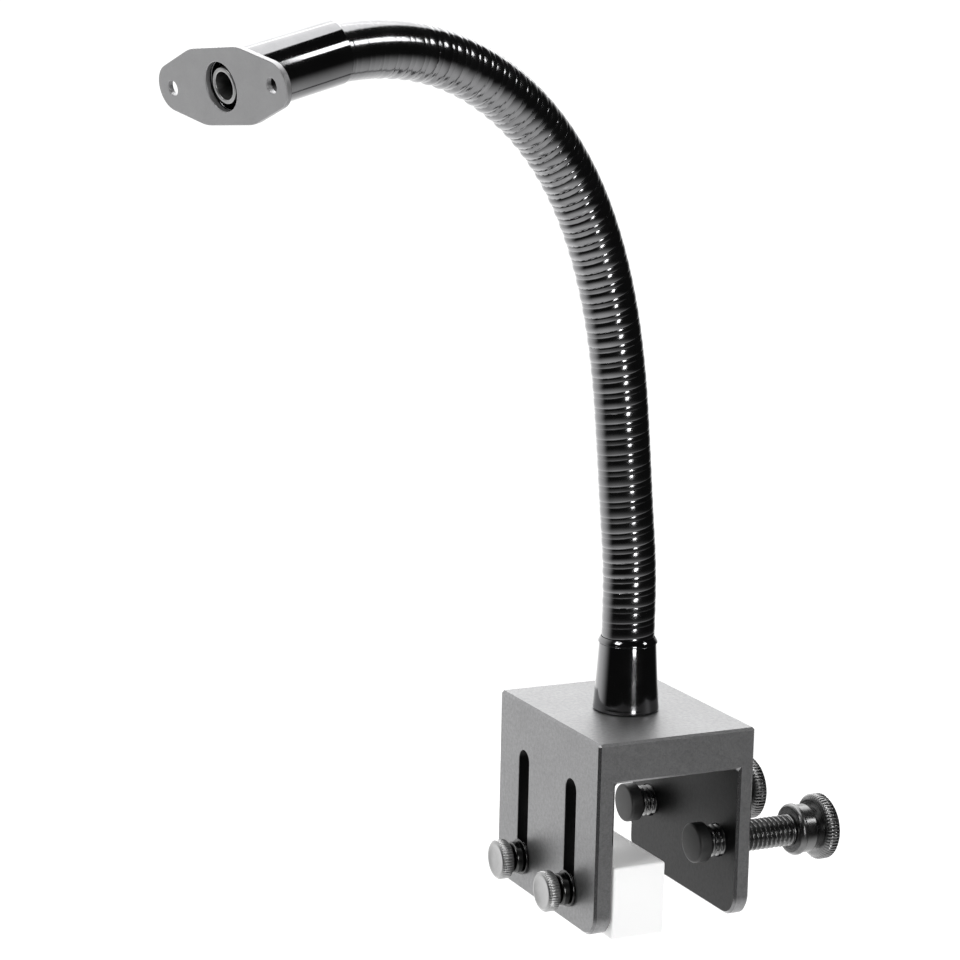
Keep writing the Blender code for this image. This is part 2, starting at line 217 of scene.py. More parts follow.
ALONG_X = Matrix.Rotation(QUARTER, 4, "Y")
ALONG_MINUS_X = Matrix.Rotation(-QUARTER, 4, "Y")
OUTLINE_XZ = Matrix.Rotation(QUARTER, 4, "X")
OUTLINE_YZ = Matrix.Rotation(QUARTER, 4, "Z") @ OUTLINE_XZ


def at(x, y, z):
    return Matrix.Translation((x, y, z))


# ---------------------------------------------------------------- materials

WHITE = (1.0, 1.0, 1.0, 1.0)


class Nodes:
    """Short calls for building one material's node tree around its Principled shader."""

    def __init__(self, name):
        self.material = bpy.data.materials.new(name)
        self.material.use_nodes = True
        self.tree = self.material.node_tree
        self.shader = self.tree.nodes["Principled BSDF"]
        self.position = self.add("ShaderNodeTexCoord").outputs["Object"]

    def add(self, kind, **settings):
        node = self.tree.nodes.new(kind)
        for key, value in settings.items():
            if key in node.inputs:
                node.inputs[key].default_value = value
            else:
                setattr(node, key, value)
        return node

    def link(self, a, b):
        self.tree.links.new(a, b)

    def stretched(self, scale):
        node = self.add("ShaderNodeMapping")
        node.inputs["Scale"].default_value = scale
        self.link(self.position, node.inputs["Vector"])
        return node.outputs["Vector"]

    def noise(self, scale, detail, rough=0.55, vector=None):
        node = self.add("ShaderNodeTexNoise", Scale=scale, Detail=detail, Roughness=rough)
        self.link(vector or self.position, node.inputs["Vector"])
        return node.outputs["Fac"]

    def spread(self, value, low, high, out_low, out_high):
        """Maps the range from low to high onto out_low to out_high, clamped."""
        node = self.add("ShaderNodeMapRange")
        node.inputs["From Min"].default_value = low
        node.inputs["From Max"].default_value = high
        node.inputs["To Min"].default_value = out_low
        node.inputs["To Max"].default_value = out_high
        self.link(value, node.inputs["Value"])
        return node.outputs["Result"]

    def clouds(self, value, low, high):
        """A colour that drifts between two others with a noise value."""
        node = self.add("ShaderNodeValToRGB")
        for element, place, colour in zip(node.color_ramp.elements, (0.3, 0.7), (low, high)):
            element.position = place
            element.color = (*colour, 1.0)
        self.link(value, node.inputs["Fac"])
        return node.outputs["Color"]

    def math(self, operation, a, b=None):
        node = self.add("ShaderNodeMath", operation=operation)
        for socket, value in zip(node.inputs, (a, b)):
            if value is None:
                continue
            if isinstance(value, (int, float)):
                socket.default_value = value
            else:
                self.link(value, socket)
        return node.outputs["Value"]

    def mix_colour(self, factor, a, b):
        node = self.add("ShaderNodeMix", data_type="RGBA")
        for socket, value in zip((node.inputs[0], node.inputs[6], node.inputs[7]), (factor, a, b)):
            if isinstance(value, tuple):
                socket.default_value = (*value, 1.0)
            else:
                self.link(value, socket)
        return node.outputs[2]

    def bump(self, height, strength, distance):
        node = self.add("ShaderNodeBump", Strength=strength, Distance=distance)
        self.link(height, node.inputs["Height"])
        self.link(node.outputs["Normal"], self.shader.inputs["Normal"])

    def set(self, **values):
        """Sets or links the shader's sockets and returns the material."""
        for key, value in values.items():
            socket = self.shader.inputs[key.replace("_", " ")]
            if isinstance(value, (int, float, tuple)):
                socket.default_value = value
            else:
                self.link(value, socket)
        return self.material


def edge_wear(nodes, low, high):
    """0 on flat faces and 1 on convex edges, from the surface's pointiness."""
    pointy = nodes.add("ShaderNodeNewGeometry").outputs["Pointiness"]
    return nodes.spread(pointy, low, high, 0.0, 1.0)


def grey(tone, blue=1.0):
    """A grey whose blue channel is scaled a little."""
    return tone, tone, tone * blue


def blasted_aluminium(name, tone, smoother=0.0):
    """Bead-blasted, clear-anodised aluminium: mottled, with faint clouds and a fine grain."""
    n = Nodes(name)
    grain = n.noise(2600, 3.0, 0.6)
    mottle = n.noise(850, 4.0, 0.65)
    cloud = n.noise(55, 5.0, 0.6)
    base = n.clouds(cloud, grey(tone * 0.91, 1.015), grey(tone * 1.07, 1.015))
    speck = n.spread(mottle, 0.35, 0.65, 0.0, 0.5)
    base = n.mix_colour(speck, base, (tone * 0.62, tone * 0.62, tone * 0.63))
    fleck = n.spread(grain, 0.4, 0.7, 0.0, 0.4)
    base = n.mix_colour(fleck, base, (tone * 1.45, tone * 1.45, tone * 1.46))
    grain_rough = n.spread(grain, 0.3, 0.7, 0.34 - smoother, 0.46 - smoother)
    rough = n.math("ADD", grain_rough, n.spread(mottle, 0.3, 0.7, -0.03, 0.05))
    height = n.math("ADD", n.noise(3200, 2.0, 0.5), n.math("MULTIPLY", mottle, 1.2))
    n.bump(height, 0.3, 0.00006)
    return n.set(Base_Color=base, Metallic=0.85, Roughness=rough)


def dark_chrome(name, tone, rough):
    """Black chrome plate: nearly black, mirror-like, with faint polishing marks and handling haze."""
    n = Nodes(name)
    marks = n.noise(8, 4.0, 0.6, vector=n.stretched((60, 60, 700)))
    haze = n.noise(120, 5.0, 0.6)
    low, high = (tone * 0.92, tone * 0.92, tone * 0.94), (tone * 1.08, tone * 1.08, tone * 1.1)
    base = n.clouds(haze, low, high)
    worn = edge_wear(n, 0.54, 0.66)
    base = n.mix_colour(n.math("MULTIPLY", worn, 0.35), base, (0.45, 0.45, 0.46))
    haze_rough = n.spread(haze, 0.35, 0.75, rough, rough + 0.06)
    roughness = n.math("ADD", haze_rough, n.spread(marks, 0.5, 0.8, 0.0, 0.05))
    n.bump(marks, 0.05, 0.00003)
    return n.set(Base_Color=base, Metallic=1.0, Roughness=roughness)


def turned_steel(name, tone, rough, ring_scale, centre, axis=(1.0, 0.0, 0.0)):
    """Turned metal: fine lathe rings about an axis (so many per metre), dulled plating, worn edges."""
    n = Nodes(name)
    move = n.add("ShaderNodeVectorMath", operation="SUBTRACT")
    move.inputs[1].default_value = centre
    n.link(n.position, move.inputs[0])
    along = n.add("ShaderNodeVectorMath", operation="PROJECT")
    along.inputs[1].default_value = axis
    n.link(move.outputs["Vector"], along.inputs[0])
    across = n.add("ShaderNodeVectorMath", operation="DISTANCE")
    n.link(move.outputs["Vector"], across.inputs[0])
    n.link(along.outputs["Vector"], across.inputs[1])
    rings = n.math("SINE", n.math("MULTIPLY", across.outputs["Value"], ring_scale * TURN))
    haze = n.noise(260, 4.0, 0.6)
    base = n.clouds(haze, grey(tone * 0.85), grey(tone * 1.15))
    worn = n.math("MULTIPLY", edge_wear(n, 0.53, 0.64), 0.5)
    base = n.mix_colour(worn, base, grey(min(1.0, tone * 2.4)))
    haze_rough = n.spread(haze, 0.3, 0.75, rough, rough + 0.09)
    roughness = n.math("ADD", haze_rough, n.math("MULTIPLY", rings, 0.02))
    n.bump(rings, 0.12, 0.00002)
    return n.set(Base_Color=base, Metallic=1.0, Roughness=roughness)


def plate_face():
    """Matt blasted steel plate."""
    n = Nodes("plate_steel")
    grain = n.noise(1900, 3.0, 0.6)
    cloud = n.noise(90, 5.0, 0.6)
    base = n.clouds(cloud, (0.34, 0.34, 0.345), (0.38, 0.38, 0.385))
    rough = n.spread(grain, 0.3, 0.7, 0.42, 0.54)
    n.bump(grain, 0.2, 0.00004)
    return n.set(Base_Color=base, Metallic=0.8, Roughness=rough)


def plastic(name, tone, rough, glow=0.0):
    """Plastic with faint cutter marks, cloudiness and a soft gloss. Glow lightens its shaded sides."""
    n = Nodes(name)
    cutter = n.noise(14, 3.0, 0.5, vector=n.stretched((900, 30, 30)))
    cloud = n.noise(70, 4.0, 0.6)
    base = n.clouds(cloud, grey(tone * 0.97), grey(tone))
    cloud_rough = n.spread(cloud, 0.3, 0.7, rough - 0.04, rough + 0.05)
    roughness = n.math("ADD", cloud_rough, n.math("MULTIPLY", cutter, 0.06))
    n.bump(cutter, 0.12, 0.00004)
    n.set(Emission_Color=WHITE, Emission_Strength=glow)
    return n.set(Base_Color=base, Metallic=0.0, Roughness=roughness, IOR=1.49)


# ---------------------------------------------------------------- clamp block and bar

BRIDGE = 12.3 * MM
SLOTTED_JAW = 5.8 * MM
SCREW_JAW = 5.0 * MM
JAW_CORNER = 7.0 * MM
BLOCK_CHAMFER = 0.75 * MM
BAR_EDGE = 0.6 * MM
SMALL_CHAMFER = 0.22 * MM
SLOT_WIDTH = 6.8 * MM
SLOT_TOP = 7.6 * MM
SLOT_BOTTOM = -31.0 * MM
SLOTS_HALF = 20.0 * MM  # both slots are nearer than this to the middle of the jaw
CLAMP_HOLE_R = 5.05 * MM
BOLT_HOLE_R = 4.3 * MM
TAPPED_HOLE_R = 3.45 * MM
HOLE_STEPS = 47
HOLE_END = 360 * HOLE_STEPS / (HOLE_STEPS + 1)  # where a hole's last point is, in degrees
ENDS = ("front", "rear")


def hole_outline(radius, x=0.0):
    return arc((x, 0), radius, 0, HOLE_END, HOLE_STEPS)


def screw_axis(node):
    """The Y and Z of a screw's axis."""
    low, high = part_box(node)
    return (low.y + high.y) / 2, (low.z + high.z) / 2


def in_throat(point):
    """Whether a face's centre is on the inside of the U or on a wall of a slot, the faces that get the
    near-black painted shade.
    """
    near, edge = 0.1 * MM, 1.0 * MM
    across = BLOCK_LOW.x + SLOTTED_JAW - near < point.x < BLOCK_HIGH.x - SCREW_JAW + near
    under_bridge = across and point.z < BLOCK_HIGH.z - BRIDGE + near
    in_jaw = BLOCK_LOW.x + near < point.x < 0 and abs(point.y) < SLOTS_HALF
    in_slot = in_jaw and BLOCK_LOW.z + edge < point.z < SLOT_TOP + near
    return (under_bridge or in_slot) and abs(point.y) < BLOCK_HIGH.y - edge


def on_chamfer(face):
    """Whether a face is on the cut edge of a jaw. The edges round the top are blasted like the faces."""
    return 0.5 < abs(face.normal.x) < 0.9 and face.normal.z < 0.3


def clamp_block(paint, shaded, chamfer_cut_and_shade_paint):
    """The upside-down U, with its slots, screw holes and bolt hole."""
    low, high = BLOCK_LOW, BLOCK_HIGH
    underside, inner_left, inner_right = high.z - BRIDGE, low.x + SLOTTED_JAW, high.x - SCREW_JAW
    half, corner = high.y, JAW_CORNER
    side = [(half, high.z), (-half, high.z)]
    side += arc((-half + corner, low.z + corner), corner, 180, 270, 16)
    side += arc((half - corner, low.z + corner), corner, 270, 360, 16)
    middle = at((low.x + high.x) / 2, 0, 0)
    block = helper("block", prism_mesh("block", side, high.x - low.x, middle @ OUTLINE_YZ))
    deep = low.z - JAW_CORNER
    throat = [(inner_left, deep), (inner_right, deep), (inner_right, underside), (inner_left, underside)]
    cut(block, helper("throat", prism_mesh("throat", throat, 4 * half, OUTLINE_XZ)))
    bevel(block, BLOCK_CHAMFER, 1, 50)
    r = SLOT_WIDTH / 2
    for end in ENDS:
        y, _ = screw_axis(f"thumb_screw_{end}")
        outline = arc((0, SLOT_TOP - r), r, 0, 180, 20) + arc((0, SLOT_BOTTOM + r), r, 180, 360, 20)
        slot = prism_mesh(f"slot_{end}", outline, 4 * SLOTTED_JAW, at(low.x, y, 0) @ OUTLINE_YZ)
        cut(block, helper(f"slot_{end}", slot))
        y, z = screw_axis(f"clamp_screw_{end}")
        hole = prism_mesh(f"hole_{end}", hole_outline(CLAMP_HOLE_R), 20 * MM, at(high.x, y, z) @ ALONG_X)
        cut(block, helper(f"hole_{end}", hole))
    hole = prism_mesh("bolt_hole", hole_outline(BOLT_HOLE_R), 40 * MM, at(PIVOTS[0].x, 0, high.z))
    cut(block, helper("bolt_hole", hole))
    bevel(block, SMALL_CHAMFER, 2, 60)
    made = piece("clamp_block", baked_mesh(block), paint, sharp=20)
    made.data.materials.append(shaded)
    made.data.materials.append(chamfer_cut_and_shade_paint)
    for face in made.data.polygons:
        if on_chamfer(face):
            # the chamfers get a smoother cut finish, and its darker tone is painted shade
            face.material_index = 2
        else:
            # material 1 is near-black painted shade, where the bridge and jaws keep the light out
            face.material_index = 1 if in_throat(face.center) else 0
    finished(made, "clamp", "clamp_body")


def slide_bar(paint):
    """The bar behind the slotted jaw, with a tapped hole for each thumb screw."""
    low, high = BAR_LOW, BAR_HIGH
    section = [(low.x, low.z), (high.x, low.z), (high.x, high.z), (low.x, high.z)]
    bar = helper("bar", prism_mesh("bar", section, high.y - low.y, OUTLINE_XZ))
    bevel(bar, BAR_EDGE, 3, 50)
    outline = arc((0, 0), TAPPED_HOLE_R, 0, 350, 35)
    for end in ENDS:
        y, z = screw_axis(f"thumb_screw_{end}")
        hole = prism_mesh(f"tap_{end}", outline, 23 * MM, at(low.x, y, z) @ ALONG_X)
        cut(bar, helper(f"tap_{end}", hole))
    made = piece("slide_bar_block", baked_mesh(bar), paint, sharp=12)
    finished(made, "bar", "slide_bar")


# ---------------------------------------------------------------- screws

THUMB_PITCH = 1.27 * MM
CLAMP_PITCH = 1.5875 * MM
BOLT_PITCH = 1.25 * MM


def knurl(radius, depth, ribs):
    """A radius that dips between straight ribs with rounded tops."""
    return lambda a: radius - depth * (1 - abs(math.sin(a * ribs / 2))) ** 1.5


def threaded_rows(outer, depth, pitch, start, end, per_turn):
    """Rows of a V thread between two heights. The thread fades into the shank at both ends."""
    fade, crest = 0.8, 0.12  # of a pitch, and of half a pitch
    rows = []
    count = max(2, int((end - start) / pitch * per_turn))
    for i in range(count + 1):
        height = start + (end - start) * i / count
        ends = min(height - start, end - height) / (fade * pitch)
        deepest = depth * max(0.0, min(1.0, ends))

        def radius(angle, height=height, deepest=deepest):
            phase = (height / pitch - angle / TURN) % 1.0
            flank = abs(2 * phase - 1)
            return outer - deepest * min(1.0, max(0.0, (flank - crest) / (1 - 2 * crest)))

        rows.append((radius, height))
    return rows


def paint_below(obj, paint, place, height):
    """Gives the faces that lie below a height, along the piece's own axis, a second material."""
    obj.data.materials.append(paint)
    back = place.inverted()
    for face in obj.data.polygons:
        if (back @ face.center).z < height:
            face.material_index = 1


def thumb_screw(end, paint, dark):
    """A small screw with a straight-knurled head and a turned collar, and the washer under it."""
    y, z = screw_axis(f"thumb_screw_{end}")
    low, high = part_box(f"thumb_screw_{end}")
    place = at(0, y, z) @ ALONG_MINUS_X
    tip, face = -high.x, -low.x
    head, thread = 6.0 * MM, 3.175 * MM
    head_back = face - 4.0 * MM
    collar_top = head_back - 1.0 * MM
    collar_foot = collar_top - 2.6 * MM
    ribs = 44
    rim, valley = knurl(head, 0.32 * MM, ribs), knurl(head - 0.35 * MM, 0.18 * MM, ribs)
    rows = [(0, tip), (thread - 0.9 * MM, tip), (thread - 0.55 * MM, tip + 0.35 * MM)]
    rows += threaded_rows(thread, 0.72 * MM, THUMB_PITCH, tip + 0.4 * MM, collar_foot - 0.2 * MM, 10)
    rows += rounded(
        [(thread - 0.3 * MM, collar_foot), (4.8 * MM, collar_foot), (4.8 * MM, collar_top),
         (2.8 * MM, collar_top), (2.8 * MM, head_back)],
        [0, 0.5 * MM, 0.9 * MM, 0.3 * MM, 0.3 * MM],
    )
    rows += [
        (head - 1.1 * MM, head_back), (head - 0.75 * MM, head_back + 0.05 * MM),
        (valley, head_back + 0.35 * MM), (rim, head_back + 0.7 * MM),
        (rim, face - 0.7 * MM), (valley, face - 0.35 * MM), (head - 0.75 * MM, face - 0.04 * MM),
        (head - 1.1 * MM, face), (head - 1.6 * MM, face - 0.06 * MM), (head - 2.2 * MM, face - 0.22 * MM),
        (1.2 * MM, face - 0.3 * MM), (0, face - 0.3 * MM),
    ]
    made = piece(f"thumb_screw_{end}_turned", revolved("thumb_screw", rows, ribs * 4), paint, 50, place)
    paint_below(made, dark, place, head_back + 0.02 * MM)
    finished(made, f"thumb_screw_{end}", f"thumb_screw_{end}")

    w_low, w_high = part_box(f"thumb_washer_{end}")
    ring = rounded(
        [(3.475 * MM, -w_high.x), (5.5 * MM, -w_high.x), (5.5 * MM, -w_low.x), (3.475 * MM, -w_low.x)],
        [0.12 * MM, 0.25 * MM, 0.25 * MM, 0.12 * MM], 4,
    )
    # the washer's near-black paint is painted shade round the collar's foot
    washer = piece(f"thumb_washer_{end}_turned", revolved("thumb_washer", ring, 72), dark, 50, place)
    finished(washer, f"thumb_washer_{end}", f"thumb_washer_{end}")


def clamp_screw(end, paint, nylon):
    """A large screw with a straight-knurled head, a turned collar and a soft tip on its spigot."""
    y, z = screw_axis(f"clamp_screw_{end}")
    low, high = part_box(f"clamp_screw_{end}")
    place = at(0, y, z) @ ALONG_X
    tip_low, tip_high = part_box(f"screw_tip_{end}")
    shank = tip_high.x + GAP
    face = high.x
    head, thread, spigot = 10.0 * MM, 4.75 * MM, 2.5 * MM
    head_back = face - 4.8 * MM
    collar_top = head_back - 2.0 * MM
    collar_foot = collar_top - 6.0 * MM
    ribs = 56
    rim, valley = knurl(head, 0.42 * MM, ribs), knurl(head - 0.55 * MM, 0.2 * MM, ribs)
    rows = [(0, low.x), (spigot - 0.3 * MM, low.x), (spigot, low.x + 0.3 * MM), (spigot, shank)]
    rows += [(thread - 1.15 * MM, shank), (thread - 0.95 * MM, shank + 0.2 * MM)]
    rows += threaded_rows(thread, 0.92 * MM, CLAMP_PITCH, shank + 0.3 * MM, collar_foot - 0.3 * MM, 12)
    rows += rounded(
        [(thread - 0.3 * MM, collar_foot), (5.6 * MM, collar_foot), (7.2 * MM, collar_foot),
         (7.85 * MM, collar_foot + 0.9 * MM), (7.85 * MM, collar_foot + 2.0 * MM),
         (7.35 * MM, collar_foot + 2.3 * MM), (7.35 * MM, collar_top), (6.4 * MM, collar_top + 0.3 * MM),
         (6.1 * MM, head_back)],
        [0, 0.3 * MM, 0.4 * MM, 0.35 * MM, 0.3 * MM, 0.3 * MM, 0.6 * MM, 0.4 * MM, 0.3 * MM],
    )
    rows += [
        (head - 2.0 * MM, head_back), (head - 1.1 * MM, head_back + 0.12 * MM),
        (valley, head_back + 0.6 * MM), (rim, head_back + 1.1 * MM),
        (rim, face - 1.1 * MM), (valley, face - 0.55 * MM), (head - 1.1 * MM, face - 0.1 * MM),
        (head - 1.7 * MM, face), (head - 2.4 * MM, face - 0.1 * MM), (head - 3.2 * MM, face - 0.5 * MM),
        (2.0 * MM, face - 0.6 * MM), (0, face - 0.6 * MM),
    ]
    made = piece(f"clamp_screw_{end}_turned", revolved("clamp_screw", rows, ribs * 4), paint, 50, place)
    finished(made, f"clamp_screw_{end}", f"clamp_screw_{end}")

    bore, bore_end = spigot + GAP, tip_high.x - 2.7 * MM
    ring = rounded(
        [(0, tip_low.x), (6.0 * MM, tip_low.x), (6.0 * MM, tip_high.x), (bore, tip_high.x),
         (bore, bore_end), (0, bore_end)],
        [0, 0.8 * MM, 0.5 * MM, 0.25 * MM, 0, 0],
    )
    pad = piece(f"screw_tip_{end}_moulded", revolved("screw_tip", ring, 72), nylon, 50, place)
    finished(pad, f"screw_tip_{end}", f"screw_tip_{end}")


# ---------------------------------------------------------------- ferrules, tube and plate

SOCKET_R = 8.12 * MM  # both ferrules' bores, which the neck sits in


def base_ferrule(paint):
    """The flared foot, with a groove under a sloping shoulder, hollow for the neck and its bolt."""
    low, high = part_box("base_ferrule")
    foot, top = low.z, high.z
    wall, bolt_hole, floor_top = SOCKET_R, BOLT_HOLE_R, foot + 8.7 * MM
    reach, lowest, highest = 4.5 * MM, math.radians(18), math.radians(40)
    start = top - reach * (math.sin(highest) - math.sin(lowest))
    groove = start - 0.3 * MM
    body = rounded(
        [(bolt_hole, foot), (9.75 * MM, foot), (10.0 * MM, foot + 0.3 * MM), (9.85 * MM, foot + 1.5 * MM),
         (9.6 * MM, foot + 5.2 * MM), (9.2 * MM, foot + 10.4 * MM), (8.95 * MM, foot + 14.5 * MM),
         (8.6 * MM, groove - 0.25 * MM), (8.42 * MM, groove - 0.12 * MM), (8.42 * MM, groove + 0.12 * MM),
         (wall + reach * (math.cos(lowest) - math.cos(highest)), start)],
        [0.3 * MM, 0.2 * MM, 0.3 * MM, 0.6 * MM, 2.0 * MM, 2.4 * MM, 2.4 * MM, 0.12 * MM, 0.06 * MM,
         0.06 * MM, 0.1 * MM],
    )
    tilts = [lowest + (highest - lowest) * i / 12 for i in range(1, 13)]
    shoulder = [
        (wall + reach * (math.cos(a) - math.cos(highest)), top - reach * (math.sin(highest) - math.sin(a)))
        for a in tilts
    ]
    bore = [(wall, floor_top), (bolt_hole, floor_top)]
    mesh = revolved("base_ferrule", body + shoulder + bore, 128)
    made = piece("base_ferrule_turned", mesh, paint, 40, at(PIVOTS[0].x, 0, 0))
    finished(made, "neck_base", "base_ferrule")


def neck_fastener(paint):
    """Washer and socket-head bolt under the bridge."""
    x = PIVOTS[0].x
    low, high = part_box("neck_washer")
    ring = rounded(
        [(BOLT_HOLE_R, low.z), (8.5 * MM, low.z), (8.5 * MM, high.z), (BOLT_HOLE_R, high.z)],
        [0.15 * MM, 0.35 * MM, 0.35 * MM, 0.15 * MM],
    )
    washer = piece("neck_washer_stamped", revolved("neck_washer", ring, 72), paint, 50, at(x, 0, 0))
    finished(washer, "neck_base", "neck_washer")

    low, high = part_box("neck_bolt")
    under, thread = low.z + 5.0 * MM, 4.0 * MM
    ribs = 36
    rim = knurl(6.5 * MM, 0.2 * MM, ribs)
    rows = [
        (0, low.z), (5.6 * MM, low.z), (6.1 * MM, low.z + 0.12 * MM), (6.35 * MM, low.z + 0.45 * MM),
        (rim, low.z + 0.8 * MM), (rim, under - 0.5 * MM), (6.3 * MM, under), (thread, under),
    ]
    rows += threaded_rows(thread, 0.7 * MM, BOLT_PITCH, under + 0.2 * MM, high.z - 0.4 * MM, 8)
    rows += [(thread - 0.8 * MM, high.z), (0, high.z)]
    body = helper("bolt", revolved("bolt", rows, ribs * 4))
    key = 6.0 * MM
    hexagon = arc((0, 0), key / math.sqrt(3), 0, 300, 5)
    cut(body, helper("hexagon", prism_mesh("hexagon", hexagon, key, at(0, 0, low.z))))
    made = piece("neck_bolt_head", baked_mesh(body), paint, 35, at(x, 0, 0))
    finished(made, "neck_base", "neck_bolt")


# Heights from here on are along the tip's axis, from the last pivot.
FACE = 36.5 * MM
PLATE = 1.6 * MM
PLATE_ROLL = math.radians(3.3)
PLATE_BORE_R = 6.45 * MM
EAR_HOLE_R = 2.0 * MM
TUBE_R = 4.75 * MM
TUBE_START = 22.4 * MM


def tip_frame():
    """Maps Z to the tip's axis with its origin at the last pivot, and X to the flange's long side."""
    z = FLANGE_NORMAL
    x = HINGE * math.cos(PLATE_ROLL) - HINGE.cross(z) * math.sin(PLATE_ROLL)
    turn = Matrix((x, z.cross(x), z)).transposed().to_4x4()
    return Matrix.Translation(PIVOTS[-1]) @ turn


def end_ferrule(paint):
    """A sleeve over the neck's end with a collar behind the plate, and a web that carries the tube."""
    wall, back, bore = SOCKET_R, FACE - PLATE - GAP, TUBE_R + GAP
    web_back, web_front = 22.0 * MM, 26.0 * MM
    rows = rounded(
        [(wall, 0.3 * MM), (8.9 * MM, 0.3 * MM), (8.9 * MM, back - 3.4 * MM), (9.0 * MM, back - 3.0 * MM),
         (9.8 * MM, back - 1.9 * MM), (9.8 * MM, back - 0.1 * MM), (9.3 * MM, back), (PLATE_BORE_R, back),
         (PLATE_BORE_R, web_front), (bore, web_front), (bore, web_back), (wall, web_back)],
        [0.2 * MM, 0.5 * MM, 0.6 * MM, 0.6 * MM, 0.5 * MM, 0.4 * MM, 0.2 * MM, 0.2 * MM, 0, 0, 0, 0],
    )
    made = piece("end_ferrule_turned", revolved("end_ferrule", rows, 128), paint, 40, tip_frame())
    finished(made, "neck_tip", "end_ferrule")


def cable_tube(paint):
    """The tube the cable comes out of, held by the end ferrule's web."""
    front, bore = FACE - 0.9 * MM, 3.6 * MM
    rows = rounded(
        [(bore, TUBE_START), (TUBE_R, TUBE_START), (TUBE_R, front), (bore, front)],
        [0.2 * MM, 0.2 * MM, 0.35 * MM, 0.35 * MM],
    )
    made = piece("cable_tube_drawn", revolved("cable_tube", rows, 96), paint, 50, tip_frame())
    finished(made, "neck_tip", "cable_tube")


def flange_plate(paint):
    """A flat plate that narrows to a round ear at each end, with its four outer corners softened."""
    ear, half, flat, radius, softness = 21.8 * MM, 10.0 * MM, 10.5 * MM, 6.2 * MM, 2.2 * MM
    run = ear - flat
    slope = math.degrees(math.atan2(half, -run) - math.acos(radius / math.hypot(run, half)))
    outline = [(flat, -half)] + arc((ear, 0), radius, -slope, slope, 24) + [(flat, half), (-flat, half)]
    outline += arc((-ear, 0), radius, 180 - slope, 180 + slope, 24) + [(-flat, -half)]
    soft = []
    for i, point in enumerate(outline):
        before, after = Vector(outline[i - 1]), Vector(outline[(i + 1) % len(outline)])
        here = Vector(point)
        if abs(abs(here.x) - flat) > 1e-6:
            soft.append(point)
            continue
        a = here + (before - here).normalized() * softness
        b = here + (after - here).normalized() * softness
        for t in (0, 0.25, 0.5, 0.75, 1):
            soft.append(tuple((1 - t) ** 2 * a + 2 * t * (1 - t) * here + t * t * b))
    place = tip_frame() @ at(0, 0, FACE - PLATE / 2)
    unmoved = Matrix.Identity(4)
    plate = helper("plate", prism_mesh("plate", soft, PLATE, unmoved))
    for offset, r in ((0.0, PLATE_BORE_R), (-ear, EAR_HOLE_R), (ear, EAR_HOLE_R)):
        hole = prism_mesh("plate_hole", hole_outline(r, offset), 3 * PLATE, unmoved)
        cut(plate, helper("plate_hole", hole))
    bevel(plate, SMALL_CHAMFER, 3, 50)
    made = piece("flange_plate_cut", baked_mesh(plate), paint, 12, place)
    finished(made, "neck_tip", "flange_plate")


# ---------------------------------------------------------------- the wound neck

PITCH = 4.75 * MM
NECK_R = 8.0 * MM
NECK_WALL = 2.6 * MM
ROUND_SHARE = 0.66  # of each turn is the round wire; the rest is the flat wire between its coils
ROUND_WIRE_FALL = 0.15 * MM
FLAT_WIRE_FALL = 0.03 * MM
FLAT_WIRE_SINK = 0.05 * MM
MAIN_GROOVE = (0.0, 0.2 * MM, 0.24 * MM)
FINE_GROOVE = (ROUND_SHARE, 0.08 * MM, 0.16 * MM)
OUTER_SIDE = 0.22  # the grooves' depth on the outer side of a tight bend, against its inner side
STRAIGHT = 0.35  # the grooves' depth where the neck is straight, against a tight bend
STRAIGHT_FALL = 0.6  # the round wire's fall where the neck is straight, against a tight bend
TIGHT_BEND = math.radians(15)  # per link
INNER_BULGE = 0.45 * MM
AROUND = 72
ROWS_PER_LINK = 96
CLOSED_FROM = 10.85  # in links from the foot: the turns lie tight from here to the end ferrule
INNER_CLOSED_FROM = 11.5  # the same for the inner side of the bend
CLOSING_RUN = 0.35  # links over which the turns close up
INNER_CLOSING_RUN = 0.5
CLOSED_SHARE = 0.1  # how much of the turns' relief is left there
INNER_SHARE = 0.8  # how much of it the inner side keeps until its own turns close up


def headings():
    """The neck's heading from upright at each link, in its bend plane."""
    points = [PIVOTS[0] - UP * LINK] + PIVOTS
    found = []
    for a, b in zip(points, points[1:]):
        d = (b - a).normalized()
        found.append(math.atan2(d.dot(LEAN), d.z))
    found.append(math.atan2(FLANGE_NORMAL.dot(LEAN), FLANGE_NORMAL.z))
    return found


HEADINGS = headings()


def direction(heading):
    return LEAN * math.sin(heading) + UP * math.cos(heading)


def neck_point(k, t):
    """Centre and heading on the arc round pivot k (1 to 12) at t from 0 to 1."""
    before, after = HEADINGS[k - 1], HEADINGS[k]
    bend = after - before
    half = LINK / 2
    start = PIVOTS[k - 1] - direction(before) * half
    side = direction(before + QUARTER)
    if abs(bend) < 1e-6:
        return start + direction(before) * LINK * t, before
    radius = half / math.tan(bend / 2)
    turned = bend * t
    centre = start + direction(before) * radius * math.sin(turned) + side * radius * (1 - math.cos(turned))
    return centre, before + turned


